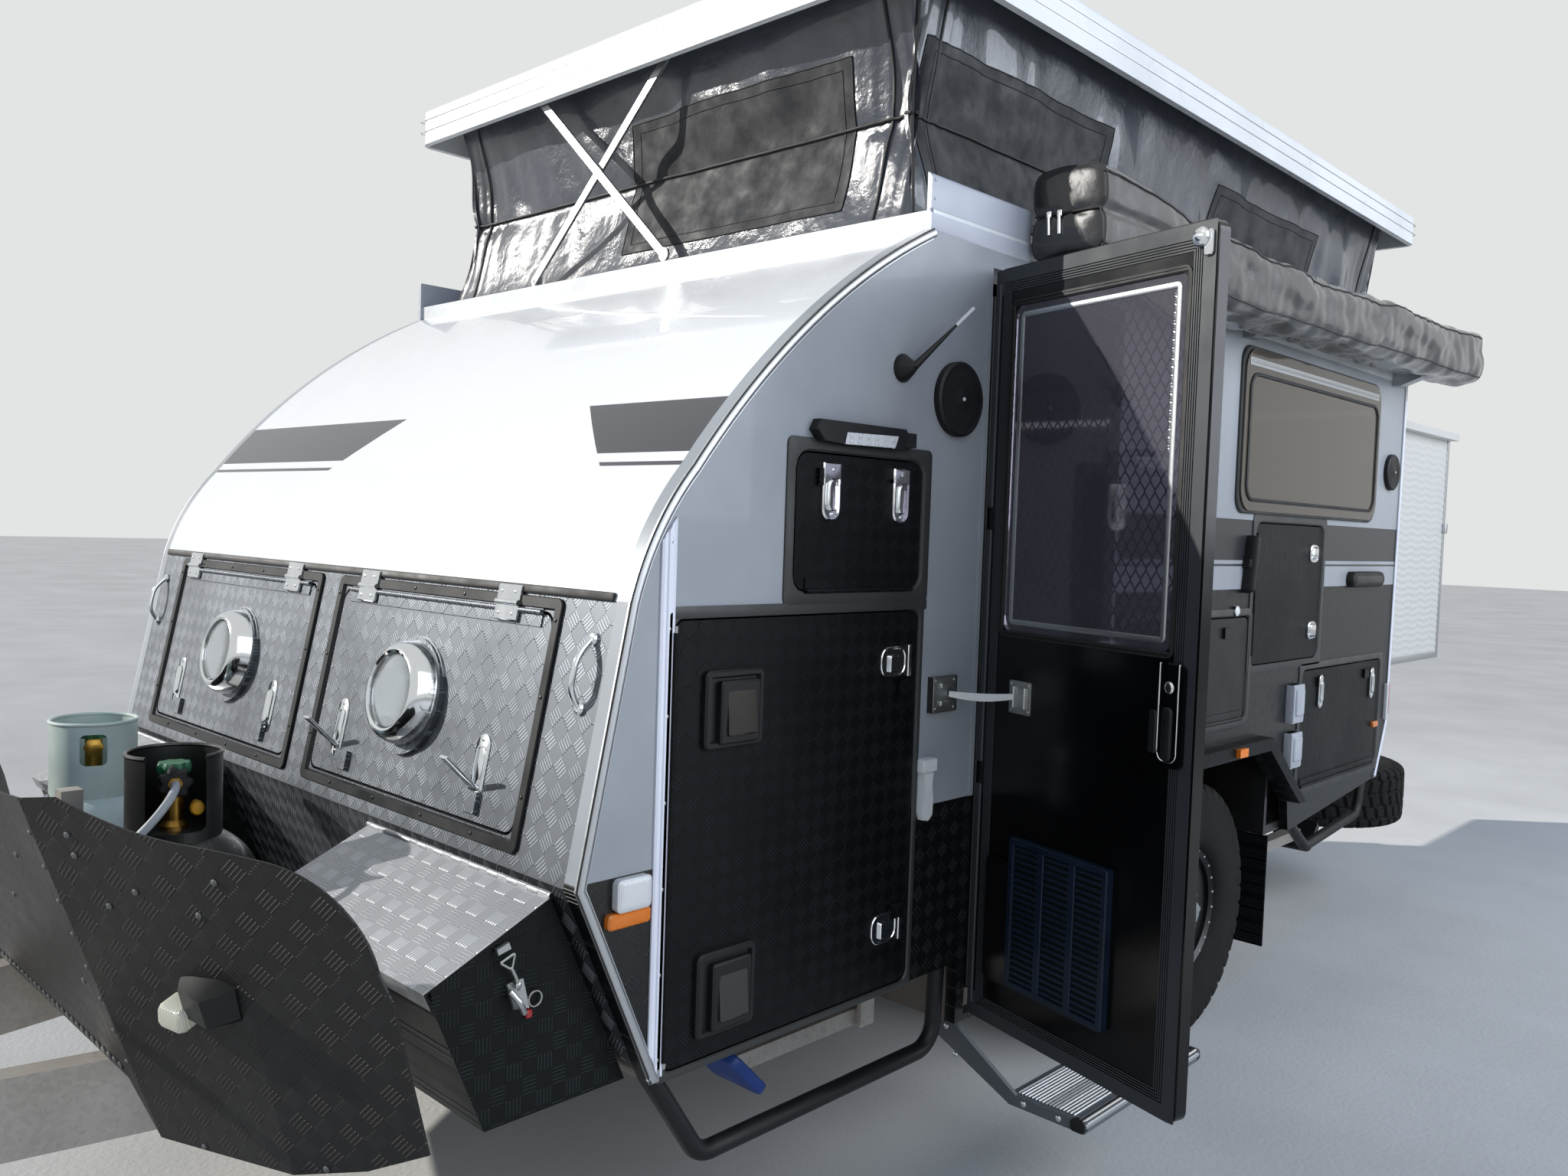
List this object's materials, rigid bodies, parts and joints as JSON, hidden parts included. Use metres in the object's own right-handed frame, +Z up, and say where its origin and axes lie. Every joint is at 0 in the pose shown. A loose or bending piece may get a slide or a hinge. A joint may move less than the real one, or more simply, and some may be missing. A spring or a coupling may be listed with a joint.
{
  "type": "touring caravan",
  "caption": "Off-road touring caravan with a raised pop-top roof, a slide-out rear bed, an open entry door, lidded front boots, a drawbar with gas bottles and a jockey wheel",
  "frame": {"origin": "mouth of the tow coupling's bore, on the centre line", "axes": "+X kerb side with the entry door, +Y aft along the body, +Z up"},
  "size_m": [2.7957, 6.936, 2.892],
  "materials": {
    "side_panel": "semi-gloss silver-grey composite panel",
    "white_panel": "gloss white composite and aluminium skin",
    "charcoal": "satin black checkerplate",
    "door_skin": "near-black door skin",
    "galvanised": "galvanised steel",
    "dark_steel": "black painted steel",
    "cast_steel": "black painted cast steel",
    "zinc": "zinc plated steel",
    "anodised": "anodised aluminium",
    "alloy": "dark painted cast alloy",
    "tyre": "black tyre rubber",
    "rubber": "black moulded rubber",
    "tinted": "tinted acrylic",
    "canvas": "dark grey coated canvas",
    "bag": "dark charcoal coated canvas",
    "mattress": "quilted fabric",
    "board": "light laminate on plywood",
    "floor": "vinyl on a plywood floor",
    "lamp": "amber and white lenses",
    "dark_plastic": "grained dark plastic",
    "bottle": "painted steel cylinder"
  },
  "bodies": {
    "body": {"awning_bag": "bag", "awning_brackets": "anodised", "body_floor": "floor", "bottle_holder": "galvanised", "cabin_fitout": "board", "cabin_windows": "tinted", "chassis_frame": "galvanised", "edge_trims": "anodised", "front_lower_panel": "charcoal", "front_upper_skin": "white_panel", "gas_bottles": "bottle", "gas_hose": "rubber", "jockey_post": "zinc", "kerb_side_wall": "side_panel", "lift_brackets": "zinc", "marker_lamps": "lamp", "mudguards": "rubber", "off_side_wall": "side_panel", "rear_wall": "side_panel", "side_fittings": "dark_plastic", "side_rails": "dark_steel", "spare_rim": "alloy", "spare_tyre": "tyre", "stone_guard": "charcoal", "suspension_arms": "dark_steel", "toolboxes": "charcoal", "top_rail": "white_panel", "tow_coupling": "cast_steel"},
    "kerb_wheel": {"kerb_tyre": "tyre", "kerb_rim": "alloy"},
    "off_wheel": {"off_tyre": "tyre", "off_rim": "alloy"},
    "entry_door": {"entry_door": "door_skin", "entry_door_window": "tinted"},
    "tall_boot_door": {"tall_boot_door": "charcoal"},
    "side_locker_door": {"side_locker_door": "side_panel"},
    "upper_hatch": {"upper_hatch": "side_panel"},
    "picnic_table": {"picnic_table": "side_panel"},
    "rear_boot_door": {"rear_boot_door": "charcoal"},
    "kerb_boot_lid": {"kerb_boot_lid": "charcoal"},
    "off_boot_lid": {"off_boot_lid": "charcoal"},
    "kerb_toolbox_lid": {"kerb_toolbox_lid": "charcoal"},
    "off_toolbox_lid": {"off_toolbox_lid": "charcoal"},
    "slide_out": {"slide_out": "white_panel", "bed_mattress": "mattress"},
    "entry_step": {"entry_step": "anodised"},
    "kerb_front_steady": {"kerb_front_steady": "galvanised"},
    "kerb_rear_steady": {"kerb_rear_steady": "galvanised"},
    "off_front_steady": {"off_front_steady": "galvanised"},
    "off_rear_steady": {"off_rear_steady": "galvanised"},
    "pop_top_roof": {"pop_top_roof": "white_panel", "roof_canvas": "canvas"},
    "front_lift_bar_a": {"front_lift_bar_a": "zinc"},
    "front_lift_bar_b": {"front_lift_bar_b": "zinc"},
    "rear_lift_bar_a": {"rear_lift_bar_a": "zinc"},
    "rear_lift_bar_b": {"rear_lift_bar_b": "zinc"},
    "jockey_leg": {"jockey_leg": "zinc"},
    "jockey_fork": {"jockey_fork": "zinc"},
    "jockey_wheel": {"jockey_wheel": "rubber"}
  },
  "joints": [
    {"name": "kerb_wheel_joint", "type": "hinge", "parent": "body", "child": "kerb_wheel", "pos_m": [0.9145, 4.179, -0.028], "axis": [1, 0, 0], "continuous": true},
    {"name": "off_wheel_joint", "type": "hinge", "parent": "body", "child": "off_wheel", "pos_m": [-0.9145, 4.179, -0.028], "axis": [1, 0, 0], "continuous": true},
    {"name": "entry_door_joint", "type": "hinge", "parent": "body", "child": "entry_door", "pos_m": [1.0723, 2.926, 0.8685], "axis": [0, 0, 1], "range_deg": [0, 105.4]},
    {"name": "tall_boot_door_joint", "type": "hinge", "parent": "body", "child": "tall_boot_door", "pos_m": [1.0723, 1.985, 0.55], "axis": [0, 0, -1], "range_deg": [0, 110]},
    {"name": "side_locker_door_joint", "type": "hinge", "parent": "body", "child": "side_locker_door", "pos_m": [1.0723, 4.459, 0.965], "axis": [0, 0, -1], "range_deg": [0, 90]},
    {"name": "upper_hatch_joint", "type": "hinge", "parent": "body", "child": "upper_hatch", "pos_m": [1.0723, 2.4865, 1.007], "axis": [0, 1, 0], "range_deg": [0, 90]},
    {"name": "picnic_table_joint", "type": "hinge", "parent": "body", "child": "picnic_table", "pos_m": [1.0723, 4.03, 0.567], "axis": [0, 1, 0], "range_deg": [0, 90]},
    {"name": "rear_boot_door_joint", "type": "hinge", "parent": "body", "child": "rear_boot_door", "pos_m": [1.0723, 5.315, 0.272], "axis": [0, 1, 0], "range_deg": [0, 90]},
    {"name": "kerb_boot_lid_joint", "type": "hinge", "parent": "body", "child": "kerb_boot_lid", "pos_m": [0.4675, 1.8677, 0.9606], "axis": [-1, 0, 0], "range_deg": [0, 80]},
    {"name": "off_boot_lid_joint", "type": "hinge", "parent": "body", "child": "off_boot_lid", "pos_m": [-0.4675, 1.8677, 0.9606], "axis": [-1, 0, 0], "range_deg": [0, 80]},
    {"name": "kerb_toolbox_lid_joint", "type": "hinge", "parent": "body", "child": "kerb_toolbox_lid", "pos_m": [0.71, 1.766, 0.499], "axis": [-1, 0, 0], "range_deg": [0, 60]},
    {"name": "off_toolbox_lid_joint", "type": "hinge", "parent": "body", "child": "off_toolbox_lid", "pos_m": [-0.71, 1.766, 0.499], "axis": [-1, 0, 0], "range_deg": [0, 60]},
    {"name": "slide_out_joint", "type": "slide", "parent": "body", "child": "slide_out", "axis": [0, -1, 0], "range_m": [0, 1]},
    {"name": "entry_step_joint", "type": "slide", "parent": "body", "child": "entry_step", "axis": [-1, 0, 0], "range_m": [0, 0.34]},
    {"name": "kerb_front_steady_joint", "type": "hinge", "parent": "body", "child": "kerb_front_steady", "pos_m": [0.8, 2.84, -0.055], "axis": [1, 0, 0], "range_deg": [0, 45]},
    {"name": "off_front_steady_joint", "type": "hinge", "parent": "body", "child": "off_front_steady", "pos_m": [-0.8, 2.84, -0.055], "axis": [1, 0, 0], "range_deg": [0, 45]},
    {"name": "kerb_rear_steady_joint", "type": "hinge", "parent": "body", "child": "kerb_rear_steady", "pos_m": [0.8, 5.21, -0.055], "axis": [-1, 0, 0], "range_deg": [0, 45]},
    {"name": "off_rear_steady_joint", "type": "hinge", "parent": "body", "child": "off_rear_steady", "pos_m": [-0.8, 5.21, -0.055], "axis": [-1, 0, 0], "range_deg": [0, 45]},
    {"name": "pop_top_roof_joint", "type": "slide", "parent": "body", "child": "pop_top_roof", "axis": [0, 0, -1], "range_m": [0, 0.52], "deforming": ["roof_canvas"]},
    {"name": "front_lift_bar_a_joint", "type": "hinge", "parent": "body", "child": "front_lift_bar_a", "pos_m": [-0.44, 2.712, 1.845], "axis": [0, 1, 0], "range_deg": [0, 40]},
    {"name": "front_lift_bar_b_joint", "type": "hinge", "parent": "front_lift_bar_a", "child": "front_lift_bar_b", "pos_m": [-0.1346, 2.7, 2.12], "axis": [0, -1, 0], "range_deg": [0, 80]},
    {"name": "rear_lift_bar_a_joint", "type": "hinge", "parent": "body", "child": "rear_lift_bar_a", "pos_m": [-0.44, 5.848, 1.845], "axis": [0, 1, 0], "range_deg": [0, 40]},
    {"name": "rear_lift_bar_b_joint", "type": "hinge", "parent": "rear_lift_bar_a", "child": "rear_lift_bar_b", "pos_m": [-0.1346, 5.86, 2.12], "axis": [0, -1, 0], "range_deg": [0, 80]},
    {"name": "jockey_leg_joint", "type": "slide", "parent": "body", "child": "jockey_leg", "axis": [0, 0, 1], "range_m": [-0.15, 0.084]},
    {"name": "jockey_fork_joint", "type": "hinge", "parent": "jockey_leg", "child": "jockey_fork", "pos_m": [0, 0.6, -0.18], "axis": [0, 0, 1], "continuous": true},
    {"name": "jockey_wheel_joint", "type": "hinge", "parent": "jockey_fork", "child": "jockey_wheel", "pos_m": [0, 0.645, -0.305], "axis": [1, 0, 0], "continuous": true}
  ],
  "couplings": [
    {"joint": "front_lift_bar_a_joint", "follows": "pop_top_roof_joint", "rad_per_m": 1.3395},
    {"joint": "rear_lift_bar_a_joint", "follows": "pop_top_roof_joint", "rad_per_m": 1.3395},
    {"joint": "front_lift_bar_b_joint", "follows": "pop_top_roof_joint", "rad_per_m": 2.679},
    {"joint": "rear_lift_bar_b_joint", "follows": "pop_top_roof_joint", "rad_per_m": 2.679}
  ]
}
